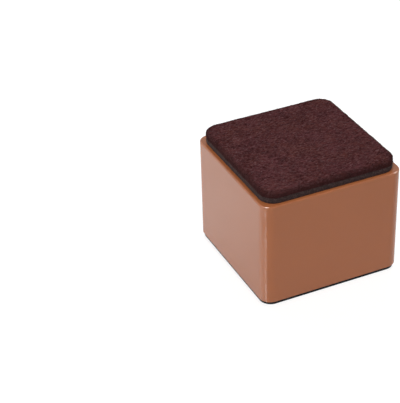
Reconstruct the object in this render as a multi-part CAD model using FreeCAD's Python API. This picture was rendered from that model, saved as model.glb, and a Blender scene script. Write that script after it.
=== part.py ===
import FreeCAD, Part
import os

# Square furniture riser: a lacquered block that stands under a bed or table leg.
# A felt pad on a foam backing carries the leg, and a thin base pad grips the floor.
# Z is up, and the origin is the middle of the base pad's underside.

# Driving dimensions in millimetres
# Block
block_side = 60.0      # width and depth of the square block
block_height = 43.8    # flat underside to flat top
corner_round = 4.8     # radius of the four upright edges
top_round = 0.6        # radius between the sides and the top
bottom_round = 0.5     # radius between the sides and the underside

# Top pad, a felt layer on a foam backing of the same outline
pad_margin = 1.0       # flat lacquer left showing between the top round and the pad
pad_corner = 6.0       # corner radius of the pad's outline
backing_thick = 2.3    # foam layer, glued to the block
felt_thick = 2.7       # felt layer, glued to the foam
felt_round = 1.0       # radius of the felt's upper edge

# Base pad
base_margin = 0.1      # flat underside left between the bottom round and the base pad
base_corner = 4.6      # corner radius of the base pad's outline
base_thick = 1.2       # non-slip layer, glued to the underside

# Worked out from the driving dimensions
pad_side = block_side - 2 * (top_round + pad_margin)
base_side = block_side - 2 * (bottom_round + base_margin)
block_bottom = base_thick
block_top = block_bottom + block_height
backing_top = block_top + backing_thick
felt_top = backing_top + felt_thick

# An edge lies at a height when its lowest and highest points are this near to it
height_tolerance = 1e-4


def square_slab(side, corner, bottom, top):
    """A square slab with rounded upright edges, centred on the Z axis."""
    half = side / 2
    box = Part.makeBox(side, side, top - bottom, FreeCAD.Vector(-half, -half, bottom))
    upright = [edge for edge in box.Edges if edge.BoundBox.ZLength > height_tolerance]
    return box.makeFillet(corner, upright)


def round_rim(solid, height, radius):
    """Round every edge that lies flat at the given height."""
    rim = []
    for edge in solid.Edges:
        low = edge.BoundBox.ZMin
        high = edge.BoundBox.ZMax
        if abs(low - height) < height_tolerance and abs(high - height) < height_tolerance:
            rim.append(edge)
    return solid.makeFillet(radius, rim)


def riser_block():
    """The lacquered block, softly rounded along every edge."""
    slab = square_slab(block_side, corner_round, block_bottom, block_top)
    slab = round_rim(slab, block_top, top_round)
    return round_rim(slab, block_bottom, bottom_round)


def base_pad():
    """The thin sheet under the block that keeps it from sliding."""
    return square_slab(base_side, base_corner, 0, block_bottom)


def pad_backing():
    """The foam layer between the block and the felt."""
    return square_slab(pad_side, pad_corner, block_top, backing_top)


def felt_pad():
    """The felt layer that the furniture leg stands on, with a rounded upper edge."""
    slab = square_slab(pad_side, pad_corner, backing_top, felt_top)
    return round_rim(slab, felt_top, felt_round)


pieces = {
    "riser_block": riser_block(),
    "base_pad": base_pad(),
    "pad_backing": pad_backing(),
    "felt_pad": felt_pad(),
}

os.makedirs("parts", exist_ok=True)
for name, shape in pieces.items():
    shape.exportStep("parts/" + name + ".step")
    print(name, "valid" if shape.isValid() else "not valid", "volume", round(shape.Volume, 1), "mm3")
print("lift", felt_top, "mm")
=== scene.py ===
# %% [markdown]
# # A bed riser
# A square riser stands under the leg of a bed or table and lifts it about 50 mm. It is four glued layers:
# a lacquered block, a thin non-slip base under it, a foam backing on top, and a felt pad that the leg
# stands on. The solids of the part are loaded first as a fixed frame, so every piece made here goes where
# its solid is, in metres, with the origin in the middle of the underside and Z up.

# %% Load the frame
import math
import random
import bmesh
import bpy
from mathutils import Matrix, Vector


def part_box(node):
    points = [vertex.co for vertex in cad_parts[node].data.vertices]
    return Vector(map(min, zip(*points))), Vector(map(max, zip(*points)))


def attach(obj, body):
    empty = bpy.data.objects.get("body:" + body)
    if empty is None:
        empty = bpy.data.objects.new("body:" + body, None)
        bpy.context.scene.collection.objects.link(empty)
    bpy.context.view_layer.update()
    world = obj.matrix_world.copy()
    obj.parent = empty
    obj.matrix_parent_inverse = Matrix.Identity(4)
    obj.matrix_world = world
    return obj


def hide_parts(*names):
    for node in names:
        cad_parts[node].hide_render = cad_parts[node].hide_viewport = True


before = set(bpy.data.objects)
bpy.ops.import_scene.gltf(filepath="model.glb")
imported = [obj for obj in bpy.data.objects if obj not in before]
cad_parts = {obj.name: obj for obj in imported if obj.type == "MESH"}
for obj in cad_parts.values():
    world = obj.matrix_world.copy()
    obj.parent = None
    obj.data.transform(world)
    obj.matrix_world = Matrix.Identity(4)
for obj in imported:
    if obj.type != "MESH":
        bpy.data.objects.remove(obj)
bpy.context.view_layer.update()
MM = 0.001

# %% [markdown]
# ## Camera
# The picture is 400 by 403 pixels, and the riser stands right of its middle. The camera looks down at the
# near upright edge with a long lens, so the far edges hardly shrink. It could be tracked to an empty, but
# placing it by two angles and a distance says plainly where it stood. The offsets slide the camera
# sideways, so that the riser lands in its place without any lens shift.

# %% Camera
picture_width = 400
picture_height = 403
sensor_mm = 36.0
pixels_per_focal = 1376.82
camera_turn = math.radians(-23.726)
camera_rise = math.radians(32.852)
camera_roll = math.radians(-2.005)
camera_distance = 550.57 * MM
riser_right_of_middle = 38.829 * MM
riser_above_middle = 0.36 * MM
nearest_seen = 0.01
block_low, block_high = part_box("riser_block")
block_middle = (block_low + block_high) / 2

flat_length = math.cos(camera_rise)
backward = Vector((
    math.sin(camera_turn) * flat_length,
    -math.cos(camera_turn) * flat_length,
    math.sin(camera_rise),
))
level_right = Vector((math.cos(camera_turn), math.sin(camera_turn), 0.0))
level_up = backward.cross(level_right)
camera_right = math.cos(camera_roll) * level_right + math.sin(camera_roll) * level_up
camera_up = math.cos(camera_roll) * level_up - math.sin(camera_roll) * level_right

camera_data = bpy.data.cameras.new("camera")
camera_data.sensor_width = sensor_mm
camera_data.lens = pixels_per_focal * sensor_mm / max(picture_width, picture_height)
camera_data.clip_start = nearest_seen
camera = bpy.data.objects.new("camera", camera_data)
bpy.context.scene.collection.objects.link(camera)
camera_turned = Matrix((camera_right, camera_up, backward)).transposed().to_4x4()
slid = camera_right * riser_right_of_middle + camera_up * riser_above_middle
camera_place = block_middle + backward * camera_distance - slid
camera.matrix_world = Matrix.Translation(camera_place) @ camera_turned
bpy.context.scene.camera = camera
print("lens", round(camera_data.lens, 1), "mm, camera at", [round(c, 3) for c in camera_place])

# %% [markdown]
# ## Shader sums
# A finish is easier to read as sums than as a web of nodes. One small class stands for a node's output:
# adding, taking away or multiplying two of them adds a Math node to the material, and its `node` method
# adds any other kind of node, sets its settings first, then fills its sockets with numbers or links. The
# nodes could be wired by hand in the editor, but then the recipe couldn't be read in one place.

# %% Shader sums
class Shade:
    """One output of a node, on which sums add Math nodes to the same node tree."""

    def __init__(self, tree, socket=None):
        self.tree = tree
        self.socket = socket

    def node(self, kind, settings=None, sockets=None, output=0):
        made = self.tree.nodes.new(kind)
        for name, value in (settings or {}).items():
            setattr(made, name, value)
        for name, value in (sockets or {}).items():
            if isinstance(value, Shade):
                self.tree.links.new(value.socket, made.inputs[name])
            else:
                made.inputs[name].default_value = value
        return Shade(self.tree, made.outputs[output])

    def sum(self, operation, first, second):
        return self.node("ShaderNodeMath", {"operation": operation}, {0: first, 1: second})

    def __add__(self, other):
        return self.sum("ADD", self, other)

    def __radd__(self, other):
        return self.sum("ADD", other, self)

    def __sub__(self, other):
        return self.sum("SUBTRACT", self, other)

    def __mul__(self, other):
        return self.sum("MULTIPLY", self, other)

    def __rmul__(self, other):
        return self.sum("MULTIPLY", other, self)

    def bigger(self, other):
        return self.sum("MAXIMUM", self, other)


print("shader sums are ready")

# %% [markdown]
# ## Shader helpers
# Every finish here is made of the same few parts: a place on the piece, cloudy noise, a share that ramps
# from 0 to 1, two colours mixed by a share, and a bump. Each gets a short function. The place is always
# taken from the piece itself, so the pattern stays on the surface wherever the camera goes.

# %% Shader helpers
def new_finish(name):
    """A material with an empty node tree, and the Shade that its nodes are added through."""
    material = bpy.data.materials.new(name)
    material.use_nodes = True
    material.node_tree.nodes.clear()
    return material, Shade(material.node_tree)


def place_on_piece(shades):
    return shades.node("ShaderNodeTexCoord", output="Object")


def noise(shades, at, scale, detail, output=0):
    """A cloudy texture that varies round 0.5. A bigger scale makes smaller clouds."""
    sockets = {"Vector": at, "Scale": scale, "Detail": detail}
    return shades.node("ShaderNodeTexNoise", None, sockets, output)


def ramp(shades, value, start, end, interpolation="LINEAR"):
    """A share that goes from 0 to 1 as the value goes from start to end."""
    sockets = {"Value": value, "From Min": start, "From Max": end}
    return shades.node("ShaderNodeMapRange", {"interpolation_type": interpolation}, sockets)


def mix_colours(shades, share, first, second):
    """A colour that goes from the first to the second as the share goes from 0 to 1."""
    sockets = {0: share, 6: first, 7: second}
    return shades.node("ShaderNodeMix", {"data_type": "RGBA"}, sockets, output=2)


def vector_sum(shades, operation, sockets, output=0):
    return shades.node("ShaderNodeVectorMath", {"operation": operation}, sockets, output)


def bump(shades, height, strength, distance):
    """A surface direction that is tilted as if the surface rose with the height."""
    sockets = {"Strength": strength, "Distance": distance, "Height": height}
    return shades.node("ShaderNodeBump", None, sockets)


def close_finish(shades, surface):
    """Sends a shader to the material's output."""
    end = shades.tree.nodes.new("ShaderNodeOutputMaterial")
    shades.tree.links.new(surface.socket, end.inputs["Surface"])


print("shader helpers are ready")

# %% [markdown]
# ## Surround
# The riser stands in a white surround with no edge between floor and wall. A real surround that is lit
# until it is pure white would also flood the riser with light. So the world has two levels, told apart by
# the kind of ray: plain white where the camera or a glossy surface looks at it, and about half of that
# where it lights the riser. A dome of lamps would do as well, with more to balance.

# %% Surround
white = (1.0, 1.0, 1.0, 1.0)
world_light = 0.52


def seen_share(shades, direct, mirrored):
    """A share where the camera or a clear surface looks, another in reflections, 0 for light on things."""
    looks = shades.node("ShaderNodeLightPath", output="Is Camera Ray")
    kinds = looks.socket.node.outputs
    glossy = Shade(shades.tree, kinds["Is Glossy Ray"])
    through = Shade(shades.tree, kinds["Is Transmission Ray"])
    return (looks.bigger(through) * direct).bigger(glossy * mirrored)


world = bpy.data.worlds.new("white studio")
bpy.context.scene.world = world
world.use_nodes = True
world.node_tree.nodes.clear()
sky = Shade(world.node_tree)
sky_strength = world_light + seen_share(sky, 1.0 - world_light, 1.0 - world_light)
sky_glow = sky.node("ShaderNodeBackground", None, {"Color": white, "Strength": sky_strength})
sky_end = world.node_tree.nodes.new("ShaderNodeOutputWorld")
world.node_tree.links.new(sky_glow.socket, sky_end.inputs["Surface"])
bpy.context.scene.view_settings.view_transform = "Standard"
print("surround lights the riser at", world_light)

# %% [markdown]
# ## Floor
# The floor is white and slightly polished. Most of what the camera sees of it is plain white, and the rest
# keeps its shading, so a soft shadow still grounds the riser. The polish shows only to the camera and in
# reflections. If it also bounced light, it would throw bright patches of the lamps onto the block.

# %% Floor
floor_size = 12.0
floor_white = (0.90, 0.90, 0.90, 1.0)
floor_plain_share = 0.82
floor_mirrored_share = 0.35
floor_polish = 0.16
floor_roughness = 0.12
floor_gap = 0.02 * MM
bpy.ops.object.select_all(action="DESELECT")
bpy.ops.mesh.primitive_plane_add(size=floor_size, location=(0.0, 0.0, -floor_gap))
floor = bpy.context.object
floor.name = "floor"
floor_finish, ground = new_finish("white sweep")
floor_lit = ground.node("ShaderNodeBsdfDiffuse", None, {"Color": floor_white})
floor_plain = ground.node("ShaderNodeEmission", None, {"Color": white, "Strength": 1.0})
floor_share = seen_share(ground, floor_plain_share, floor_mirrored_share)
floor_mixed = ground.node("ShaderNodeMixShader", None, {0: floor_share, 1: floor_lit, 2: floor_plain})
floor_shine = seen_share(ground, floor_polish, floor_polish)
floor_gloss = ground.node("ShaderNodeBsdfGlossy", None, {"Color": floor_shine, "Roughness": floor_roughness})
floor_both = ground.node("ShaderNodeAddShader", None, {0: floor_mixed, 1: floor_gloss})
close_finish(ground, floor_both)
floor.data.materials.append(floor_finish)
print("floor", floor.dimensions.x, "m wide")

# %% [markdown]
# ## Lamps
# Two jobs are kept apart. Three softboxes light the riser and are not mirrored in its lacquer. Five more
# lamps show only in the gloss: a broad one draws the pale line along the left top rim, a strip draws the
# line down the near upright edge, a small one sparkles on each front corner, and a weak one behind is
# mirrored by the floor onto the left side, which pales towards the back. One set of lamps could do both
# jobs, but then no highlight could be moved without changing the shading.

# %% Lamps
lamp_distance = 0.9


def soft_lamp(name, turn, rise, wide, tall, watts, lights=True, mirrored=True):
    """A softbox that faces the block. Its turn is measured from the left (-X) round to the front (-Y)."""
    lamp_data = bpy.data.lights.new(name, "AREA")
    lamp_data.shape = "RECTANGLE"
    lamp_data.size = wide
    lamp_data.size_y = tall
    lamp_data.energy = watts
    lamp = bpy.data.objects.new(name, lamp_data)
    bpy.context.scene.collection.objects.link(lamp)
    angle = math.radians(turn)
    height = math.radians(rise)
    level = math.cos(height)
    away = Vector((-math.cos(angle) * level, -math.sin(angle) * level, math.sin(height)))
    lamp.location = block_middle + away * lamp_distance
    lamp.rotation_euler = away.to_track_quat("Z", "Y").to_euler()
    lamp.visible_camera = False
    lamp.visible_diffuse = lights
    lamp.visible_glossy = mirrored


# Name, turn and rise in degrees, width and height in metres, power in watts
soft_lamp("left softbox", 20.0, 44.0, 0.40, 0.40, 3.3, mirrored=False)
soft_lamp("right softbox", 165.0, 58.0, 0.30, 0.30, 1.1, mirrored=False)
soft_lamp("overhead softbox", 60.0, 80.0, 0.40, 0.40, 1.9, mirrored=False)
soft_lamp("edge light", -14.0, 33.0, 0.80, 0.25, 5.5, lights=False)
soft_lamp("strip light", 25.0, 34.0, 0.22, 0.40, 6.2, lights=False)
soft_lamp("left sparkle", 31.0, 57.0, 0.20, 0.40, 16.0, lights=False)
soft_lamp("background light", -69.5, 25.3, 0.50, 0.25, 0.80, lights=False)
soft_lamp("right sparkle", 190.0, 50.0, 0.18, 0.27, 9.0, lights=False)
print("lamps", [lamp_data.name for lamp_data in bpy.data.lights])

# %% [markdown]
# ## Modelling helpers
# The pieces are made with the steps of hand modelling: edit mode, select, bevel, extrude. By hand a
# selection is made by clicking. Here a test picks each edge or vertex, such as lying at a height, so the
# same step works whatever the sizes are. Modifiers are applied at once, and each piece ends as a plain mesh.

# %% Modelling helpers
same_height = 0.01 * MM
least_upright = 0.5 * MM


def select_parts(piece, kind, wanted):
    """In edit mode, selects only the vertices or edges of a piece that pass a test."""
    bpy.ops.object.mode_set(mode="EDIT")
    bpy.ops.mesh.select_mode(type=kind)
    bpy.ops.mesh.select_all(action="DESELECT")
    mesh = bmesh.from_edit_mesh(piece.data)
    parts = {"VERT": mesh.verts, "EDGE": mesh.edges}[kind]
    for part in parts:
        if wanted(part):
            part.select_set(True)
    mesh.select_flush_mode()
    bmesh.update_edit_mesh(piece.data)


def lies_at(edge, height):
    return all(abs(vertex.co.z - height) < same_height for vertex in edge.verts)


def stands_up(edge):
    return abs(edge.verts[0].co.z - edge.verts[1].co.z) > least_upright


def apply_modifiers(piece):
    bpy.ops.object.mode_set(mode="OBJECT")
    for modifier in list(piece.modifiers):
        bpy.ops.object.modifier_apply(modifier=modifier.name)


def report_piece(piece):
    triangles = sum(len(face.vertices) - 2 for face in piece.data.polygons)
    print(piece.name, triangles, "triangles", [round(side / MM, 2) for side in piece.dimensions], "mm")


print("modelling helpers are ready")

# %% [markdown]
# ## Block
# The block is a solid-looking cube with soft upright edges and a tighter round along its top and bottom,
# under a coat of lacquer that runs over every edge. The solid has this shape already, but its mesh is flat
# triangles, and lacquer shows every facet. So it is made again: a cube, its upright edges bevelled first,
# then the rims, with normals weighted to keep the big faces flat.

# %% Block shape
corner_round = 4.8 * MM
corner_steps = 20
top_round = 0.6 * MM
bottom_round = 0.5 * MM
rim_steps = 10
bpy.ops.object.select_all(action="DESELECT")
bpy.ops.mesh.primitive_cube_add(size=1.0, location=block_middle, scale=block_high - block_low)
block = bpy.context.object
block.name = "lacquered_block"
bpy.ops.object.transform_apply(location=True, rotation=True, scale=True)
select_parts(block, "EDGE", stands_up)
bpy.ops.mesh.bevel(offset=corner_round, segments=corner_steps, profile=0.5, affect="EDGES")
select_parts(block, "EDGE", lambda edge: lies_at(edge, block_high.z))
bpy.ops.mesh.bevel(offset=top_round, segments=rim_steps, profile=0.5, affect="EDGES")
select_parts(block, "EDGE", lambda edge: lies_at(edge, block_low.z))
bpy.ops.mesh.bevel(offset=bottom_round, segments=rim_steps, profile=0.5, affect="EDGES")
bpy.ops.object.mode_set(mode="OBJECT")
bpy.ops.object.shade_smooth()
weighted = block.modifiers.new("flat faces", "WEIGHTED_NORMAL")
weighted.mode = "FACE_AREA"
weighted.weight = 100
apply_modifiers(block)
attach(block, "root")
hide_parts("riser_block")
report_piece(block)

# %% [markdown]
# ## Lacquer
# The lacquer is a warm brown under a clear gloss. Most of its look is what it mirrors: the white floor
# pales the side that is seen at a shallow angle, and hardly touches the side that faces the camera. So the
# colour itself is deeper than it first seems. Sprayed lacquer is never quite flat, and a very low bump
# gives the gloss a faint ripple. The colour drifts by a few percent. A separate clear coat could carry the
# gloss, but one layer mirrors as much as this lacquer does.

# %% Lacquer finish
lacquer_colour = (0.324, 0.1035, 0.0375, 1.0)
lacquer_deep = (0.310, 0.0985, 0.0350, 1.0)
ripple_height = 0.006 * MM
lacquer, coat = new_finish("brown lacquer")
on_block = place_on_piece(coat)
drift = noise(coat, on_block, 45.0, 3.0)
ripple = noise(coat, on_block, 700.0, 2.0)
dust = noise(coat, on_block, 2600.0, 2.0)
lacquer_shader = coat.node("ShaderNodeBsdfPrincipled", None, {
    "Base Color": mix_colours(coat, drift, lacquer_deep, lacquer_colour),
    "Roughness": 0.10 + 0.06 * dust,
    "IOR": 1.38,
    "Normal": bump(coat, ripple, 0.25, ripple_height),
})
close_finish(coat, lacquer_shader)
block.data.materials.append(lacquer)
print("lacquer on", block.name)

# %% [markdown]
# ## Cut sheets
# The base and the foam are both squares with rounded corners, cut from sheet. A flat outline is drawn once
# and pulled up into a wall in small steps, which leaves enough vertices to give the cut edge its
# unevenness. A bevelled cube would be quicker, but its wall is one face high and can't be roughened. A wall
# that is held at its top and bottom may bow out a little between them.

# %% Cut sheets
least_arc_steps = 6


def rounded_sheet(name, side, corner, low, high, steps, spacing, bow=0.0):
    """A closed square sheet with a finely divided wall, whose middle bows out by a little."""
    bpy.ops.object.select_all(action="DESELECT")
    bpy.ops.mesh.primitive_plane_add(size=side, location=(0.0, 0.0, 0.0))
    sheet = bpy.context.object
    sheet.name = name
    select_parts(sheet, "VERT", lambda vertex: True)
    arc_steps = max(least_arc_steps, round(corner * math.pi / 2 / spacing))
    bpy.ops.mesh.bevel(offset=corner, segments=arc_steps, profile=0.5, affect="VERTICES")
    bpy.ops.mesh.select_all(action="SELECT")
    bpy.ops.mesh.delete(type="ONLY_FACE")
    straight = side - 2 * corner
    select_parts(sheet, "EDGE", lambda edge: edge.calc_length() > straight / 2)
    bpy.ops.mesh.subdivide(number_cuts=round(straight / spacing))
    bpy.ops.mesh.select_all(action="SELECT")
    bpy.ops.transform.translate(value=(0.0, 0.0, low))
    step = (high - low) / steps
    for number in range(1, steps + 1):
        grown = bow * (math.sin(math.pi * number / steps) - math.sin(math.pi * (number - 1) / steps))
        stretch = 1.0 + grown / (side / 2)
        bpy.ops.mesh.extrude_region_move(TRANSFORM_OT_translate={"value": (0.0, 0.0, step)})
        bpy.ops.transform.resize(value=(stretch, stretch, 1.0), center_override=(0.0, 0.0, 0.0))
    bpy.ops.mesh.edge_face_add()
    select_parts(sheet, "EDGE", lambda edge: lies_at(edge, low))
    bpy.ops.mesh.edge_face_add()
    bpy.ops.mesh.select_all(action="SELECT")
    bpy.ops.mesh.normals_make_consistent(inside=False)
    bpy.ops.object.mode_set(mode="OBJECT")
    bpy.ops.object.transform_apply(location=True, rotation=True, scale=True)
    return sheet


def group_vertices(piece, name, wanted):
    group = piece.vertex_groups.new(name=name)
    chosen = [vertex.index for vertex in piece.data.vertices if wanted(vertex.co)]
    group.add(chosen, 1.0, "REPLACE")


def roughen(piece, texture_kind, grain, depth, group, settings=None):
    """Pushes the vertices of a group in and out along their normals by a texture of the given grain."""
    texture = bpy.data.textures.new(piece.name + " " + texture_kind.lower(), texture_kind)
    texture.noise_scale = grain
    for name, value in (settings or {}).items():
        setattr(texture, name, value)
    push = piece.modifiers.new("rough " + texture_kind.lower(), "DISPLACE")
    push.texture = texture
    push.texture_coords = "LOCAL"
    push.strength = depth
    push.mid_level = 0.5
    push.vertex_group = group


print("sheets can be cut")

# %% [markdown]
# ## Base
# Under the block is a thin black sheet that stops it sliding. Only its edge shows, as a dark line under the
# block. Its wall is pushed in and out by less than a tenth of a millimetre, as a blade leaves it. The rows
# at its top and bottom stay where they are, so the sheet still meets the block and the floor.

# %% Base shape
glued_rim = 0.1 * MM
base_low, base_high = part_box("base_pad")
base_side = base_high.x - base_low.x
base_corner = 4.6 * MM
base = rounded_sheet(
    "base_sheet", base_side, base_corner, base_low.z, base_high.z, steps=8, spacing=0.4 * MM)
group_vertices(base, "wall", lambda co: base_low.z + glued_rim < co.z < base_high.z - glued_rim)
roughen(base, "CLOUDS", 0.9 * MM, 0.08 * MM, "wall")
apply_modifiers(base)
bpy.ops.object.shade_smooth_by_angle(angle=math.radians(40))
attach(base, "root")
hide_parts("base_pad")
report_piece(base)

# %% [markdown]
# ## Base finish
# The sheet is matt black rubber with a fine grain that helps it grip. It is nearly black, but not quite: a
# pure black edge would look like a gap. Soft patches of grey and a grainy bump break it up, and it mirrors
# very little.

# %% Base finish
rubber_dark = (0.0030, 0.0022, 0.0018, 1.0)
rubber_grey = (0.0080, 0.0065, 0.0055, 1.0)
grain_height = 0.08 * MM
rubber, grip = new_finish("black non-slip rubber")
on_base = place_on_piece(grip)
rubber_grain = noise(grip, on_base, 1600.0, 4.0)
rubber_patch = noise(grip, on_base, 120.0, 2.0)
rubber_shader = grip.node("ShaderNodeBsdfPrincipled", None, {
    "Base Color": mix_colours(grip, rubber_patch, rubber_dark, rubber_grey),
    "Roughness": 0.62 + 0.2 * rubber_grain,
    "Specular IOR Level": 0.08,
    "Normal": bump(grip, rubber_grain, 0.6, grain_height),
})
close_finish(grip, rubber_shader)
base.data.materials.append(rubber)
print("rubber on", base.name)

# %% [markdown]
# ## Foam backing
# A black closed-cell foam carries the felt and gives way a little under a leg. Its cut edge is matt, with
# tiny opened cells. The wall is made as for the base, with a slight bow where the glued layers hold its top
# and bottom, and two textures push its vertices: a coarse one for the cut and a fine one for the cells.

# %% Foam shape
foam_low, foam_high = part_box("pad_backing")
pad_side = foam_high.x - foam_low.x
pad_corner = 6.0 * MM
foam_bow = 0.12 * MM
foam_side = pad_side - 2 * foam_bow
foam = rounded_sheet(
    "foam_backing", foam_side, pad_corner, foam_low.z, foam_high.z,
    steps=11, spacing=0.22 * MM, bow=foam_bow)
group_vertices(foam, "wall", lambda co: foam_low.z + glued_rim < co.z < foam_high.z - glued_rim)
roughen(foam, "CLOUDS", 1.1 * MM, 0.16 * MM, "wall")
roughen(foam, "VORONOI", 0.45 * MM, 0.12 * MM, "wall")
apply_modifiers(foam)
bpy.ops.object.shade_smooth_by_angle(angle=math.radians(50))
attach(foam, "root")
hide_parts("pad_backing")
report_piece(foam)

# %% [markdown]
# ## Foam finish
# Where foam is cut, the open cells show as dark pits in walls that catch some light. A Voronoi texture has
# that pattern: it gives the distance to the middle of the nearest cell, which is largest at the walls. So it
# raises the bump there, and it also paints the light and shade into the colour: painted light on the walls
# and painted shade in the pits. Cloudy noise keeps the cells from looking all alike.

# %% Foam finish
# The dark colour is painted shade in the cell pits and the dark clouds, the light one painted light on the
# walls.
foam_dark_and_pit_shade = (0.018, 0.011, 0.010, 1.0)
foam_light_and_lit_walls = (0.060, 0.037, 0.036, 1.0)
cell_depth = 0.12 * MM
foam_finish, cells = new_finish("black cut foam")
on_foam = place_on_piece(cells)
cell_sockets = {"Vector": on_foam, "Scale": 1900.0}
# The distance to a cell's middle: the bump of the walls, and the share of painted light on them.
cell_walls_and_pit_shade = cells.node("ShaderNodeTexVoronoi", {"feature": "F1"}, cell_sockets, output="Distance")
foam_cloud = noise(cells, on_foam, 650.0, 4.0)
foam_shader = cells.node("ShaderNodeBsdfPrincipled", None, {
    # Painted light on the cell walls and painted shade in the pits, under a cloudy tone.
    "Base Color": mix_colours(cells, cell_walls_and_pit_shade * foam_cloud * 2.0, foam_dark_and_pit_shade, foam_light_and_lit_walls),
    "Roughness": 0.78 + 0.15 * foam_cloud,
    "Specular IOR Level": 0.06,
    "Normal": bump(cells, cell_walls_and_pit_shade, 0.7, cell_depth),
})
close_finish(cells, foam_shader)
foam.data.materials.append(foam_finish)
print("foam on", foam.name)

# %% [markdown]
# ## Felt pad
# Felt is wool or polyester pressed until the fibres lock. Its top is soft and slightly lumpy, and its upper
# edge is rounded. A flat slab with a bump would look painted. So the slab is remeshed into an even fine
# grid, and cloud textures of two sizes press lumps into it. Its underside stays flat on the foam.

# %% Felt shape
felt_low, felt_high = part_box("felt_pad")
felt_middle = (felt_low + felt_high) / 2
felt_round = 1.0 * MM
felt_round_steps = 6
felt_grid = 0.27 * MM
felt_underside = 0.3 * MM
bpy.ops.object.select_all(action="DESELECT")
bpy.ops.mesh.primitive_cube_add(size=1.0, location=felt_middle, scale=felt_high - felt_low)
felt = bpy.context.object
felt.name = "felt_pad_top"
bpy.ops.object.transform_apply(location=True, rotation=True, scale=True)
select_parts(felt, "EDGE", stands_up)
bpy.ops.mesh.bevel(offset=pad_corner, segments=corner_steps, profile=0.5, affect="EDGES")
select_parts(felt, "EDGE", lambda edge: lies_at(edge, felt_high.z))
bpy.ops.mesh.bevel(offset=felt_round, segments=felt_round_steps, profile=0.5, affect="EDGES")
bpy.ops.object.mode_set(mode="OBJECT")
even = felt.modifiers.new("even grid", "REMESH")
even.mode = "VOXEL"
even.voxel_size = felt_grid
apply_modifiers(felt)
group_vertices(felt, "nap", lambda co: co.z > felt_low.z + felt_underside)
roughen(felt, "CLOUDS", 1.6 * MM, 0.16 * MM, "nap", {"noise_depth": 2})
roughen(felt, "CLOUDS", 0.55 * MM, 0.14 * MM, "nap", {"noise_depth": 1})
apply_modifiers(felt)
bpy.ops.object.shade_smooth()
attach(felt, "root")
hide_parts("felt_pad")
report_piece(felt)

# %% [markdown]
# ## Loose fibres
# Single fibres stand off the felt everywhere, and they soften its outline. A hair system would grow them
# straight up, but in felt they lie down and curl. So each is a short curve that wanders over the pad, rises
# in a low arch and dips back in at both ends. Near the side it bends round the rounded edge and runs down.

# %% Way over the felt
def way_out(x, y, half, corner):
    """How far a point lies outside a rounded square, below zero inside it, and the direction outwards."""
    core = half - corner
    over_x = abs(x) - core
    over_y = abs(y) - core
    if over_x > 0 and over_y > 0:
        far = math.hypot(over_x, over_y)
        return far - corner, Vector((math.copysign(over_x / far, x), math.copysign(over_y / far, y)))
    if over_x > over_y:
        return over_x - corner, Vector((math.copysign(1.0, x), 0.0))
    return over_y - corner, Vector((0.0, math.copysign(1.0, y)))


def on_felt(x, y, lift):
    """A point of the plane laid over the pad: it bends round the upper edge and runs down the side."""
    half = pad_side / 2 - felt_round
    over, outwards = way_out(x, y, half, pad_corner - felt_round)
    if over <= 0:
        return Vector((x, y, felt_high.z + lift))
    foot = Vector((x, y)) - outwards * over
    quarter = felt_round * math.pi / 2
    angle = min(over, quarter) / felt_round
    down = max(0.0, over - quarter)
    across = foot + outwards * (felt_round + lift) * math.sin(angle)
    height = felt_high.z - felt_round + (felt_round + lift) * math.cos(angle) - down
    return Vector((across.x, across.y, height))


print("corner of the pad is at", [round(c / MM, 1) for c in on_felt(pad_side / 2, pad_side / 2, 0.0)], "mm")

# %% Felt fibres
fibre_count = 2400
fibre_points = 9
fibre_width = 0.07 * MM
fibre_sunk = 0.04 * MM
fibre_steps_mm = (0.35, 0.75)
fibre_arches_mm = (0.04, 0.22)
fibre_curl = 0.25
fibre_waver = 0.22
reach = pad_side / 2 + 1.5 * MM
draw = random.Random(11)
strands = bpy.data.curves.new("felt_fibres", "CURVE")
strands.dimensions = "3D"
strands.bevel_depth = fibre_width / 2
strands.bevel_resolution = 0
strands.use_fill_caps = True
for number in range(fibre_count):
    x = draw.uniform(-reach, reach)
    y = draw.uniform(-reach, reach)
    heading = draw.uniform(0.0, 2 * math.pi)
    curl = draw.gauss(0.0, fibre_curl)
    step = draw.uniform(*fibre_steps_mm) * MM
    arch = draw.uniform(*fibre_arches_mm) * MM
    spline = strands.splines.new("POLY")
    spline.points.add(fibre_points - 1)
    for place, point in enumerate(spline.points):
        lift = arch * math.sin(math.pi * place / (fibre_points - 1)) - fibre_sunk
        at = on_felt(x, y, lift)
        at.z = max(at.z, felt_low.z + fibre_width)
        point.co = (at.x, at.y, at.z, 1.0)
        heading += curl + draw.gauss(0.0, fibre_waver)
        x += step * math.cos(heading)
        y += step * math.sin(heading)
fibres = bpy.data.objects.new("felt_fibres", strands)
bpy.context.scene.collection.objects.link(fibres)
bpy.ops.object.select_all(action="DESELECT")
fibres.select_set(True)
bpy.context.view_layer.objects.active = fibres
bpy.ops.object.convert(target="MESH")
fibres = bpy.context.object
bpy.ops.object.shade_smooth()
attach(fibres, "root")
report_piece(fibres)

# %% [markdown]
# ## Felt finish
# Dark maroon felt is a tangle of fibres that took the dye unevenly. One noise looks like fog, so four
# layers of noise are stretched along different directions, and only their crests show, as short pale
# strands. Under them the colour is mottled, combed one way and patchy, with a slow drift of the dye. The
# side and the rolled upper edge are darkened by painted shade, where less light falls on them. The loose
# fibres take the same finish, with more of the pale colour.

# %% Felt colours
felt_dark = (0.035, 0.0084, 0.0088, 1.0)
felt_mid = (0.084, 0.0262, 0.0287, 1.0)
felt_warm = (0.086, 0.0267, 0.0232, 1.0)
felt_pale = (0.178, 0.099, 0.107, 1.0)
# The colour of the painted shade on the felt's side and rolled edge.
painted_edge_shade = (0.029, 0.0105, 0.0100, 1.0)
sheen_tint = (0.75, 0.45, 0.47, 1.0)
strand_turns = (12.0, 57.0, 103.0, 148.0)
strand_scale = (700.0, 2900.0, 1200.0)
comb_turn = 6.0
comb_scale = (240.0, 1250.0, 1200.0)
curl_size = 0.9 * MM
strand_height = 0.12 * MM


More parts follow.
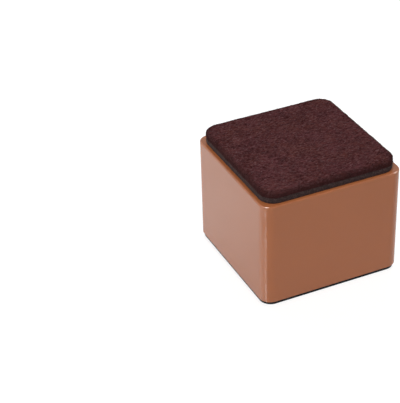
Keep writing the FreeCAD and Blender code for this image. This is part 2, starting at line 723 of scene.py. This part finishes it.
def curl_place(wool, on_pad):
    """The place on the pad, shifted to and fro so that straight strands come out curled."""
    bend = noise(wool, on_pad, 800.0, 1.0, output="Color")
    bend = vector_sum(wool, "SUBTRACT", {0: bend, 1: (0.5, 0.5, 0.5)})
    bend = vector_sum(wool, "SCALE", {0: bend, "Scale": curl_size})
    return vector_sum(wool, "ADD", {0: on_pad, 1: bend})


def stretched_noise(wool, at, turn, scale):
    """Noise drawn out into streaks in one direction."""
    sockets = {"Vector": at, "Rotation": (0.0, 0.0, math.radians(turn)), "Scale": scale}
    laid = wool.node("ShaderNodeMapping", None, sockets)
    return noise(wool, laid, 1.0, 2.0)


def pale_strands(wool, curled):
    """Where short strands lie in any of four directions."""
    seen = None
    for turn in strand_turns:
        strand = ramp(wool, stretched_noise(wool, curled, turn, strand_scale), 0.56, 0.74, "SMOOTHSTEP")
        seen = strand if seen is None else seen.bigger(strand)
    return seen


def dyed_wool(wool, on_pad, curled):
    """The colour under the strands: mottled, combed one way and patchy, with a slow drift of the dye."""
    mottle = noise(wool, on_pad, 900.0, 4.0)
    patch = noise(wool, on_pad, 110.0, 3.0)
    comb = stretched_noise(wool, curled, comb_turn, comb_scale)
    dye = noise(wool, on_pad, 95.0, 2.0)
    dyed = mix_colours(wool, (dye - 0.5) * 3.0 + 0.5, felt_mid, felt_warm)
    lightness = (mottle - 0.5) * 3.2 + (comb - 0.5) * 3.0 + (patch - 0.5) * 1.2 + 0.5
    return mix_colours(wool, lightness, felt_dark, dyed)


print("felt colours are ready")

# %% Felt finish
def painted_shade_share(wool, on_pad):
    """How much painted shade darkens the felt: 0 on its flat top, more down its side and on its rolled edge.
    """
    height = wool.node("ShaderNodeSeparateXYZ", None, {"Vector": on_pad}, output="Z")
    # Painted shade down the side, starting just under the flat top.
    cut = ramp(wool, height, felt_high.z - 0.1 * MM, felt_high.z - 1.1 * MM)
    core = pad_side / 2 - pad_corner
    beyond = vector_sum(wool, "MULTIPLY", {0: on_pad, 1: (1.0, 1.0, 0.0)})
    beyond = vector_sum(wool, "ABSOLUTE", {0: beyond})
    beyond = vector_sum(wool, "SUBTRACT", {0: beyond, 1: (core, core, 0.0)})
    beyond = vector_sum(wool, "MAXIMUM", {0: beyond, 1: (0.0, 0.0, 0.0)})
    far_out = vector_sum(wool, "LENGTH", {0: beyond}, output="Value")
    # Painted shade along the rolled edge all round the pad.
    rolled_edge_shade = ramp(wool, far_out, pad_corner - 1.7 * MM, pad_corner - 0.3 * MM)
    return (cut * 0.8).bigger(rolled_edge_shade * 0.6)


def felt_finish(name, pale_share):
    """Maroon felt: pale strands over dyed wool, with painted shade down the side and on the rolled edge."""
    material, wool = new_finish(name)
    on_pad = place_on_piece(wool)
    curled = curl_place(wool, on_pad)
    strands_seen = pale_strands(wool, curled)
    tone = mix_colours(wool, strands_seen * pale_share, dyed_wool(wool, on_pad, curled), felt_pale)
    shader = wool.node("ShaderNodeBsdfPrincipled", None, {
        "Base Color": mix_colours(wool, painted_shade_share(wool, on_pad), tone, painted_edge_shade),
        "Roughness": 0.95,
        "Specular IOR Level": 0.0,
        "Sheen Weight": 0.02,
        "Sheen Roughness": 0.5,
        "Sheen Tint": sheen_tint,
        "Normal": bump(wool, strands_seen, 0.7, strand_height),
    })
    close_finish(wool, shader)
    return material


felt.data.materials.append(felt_finish("maroon felt", 0.60))
fibres.data.materials.append(felt_finish("maroon loose fibres", 0.75))
print("felt on", felt.name, "and", fibres.name)
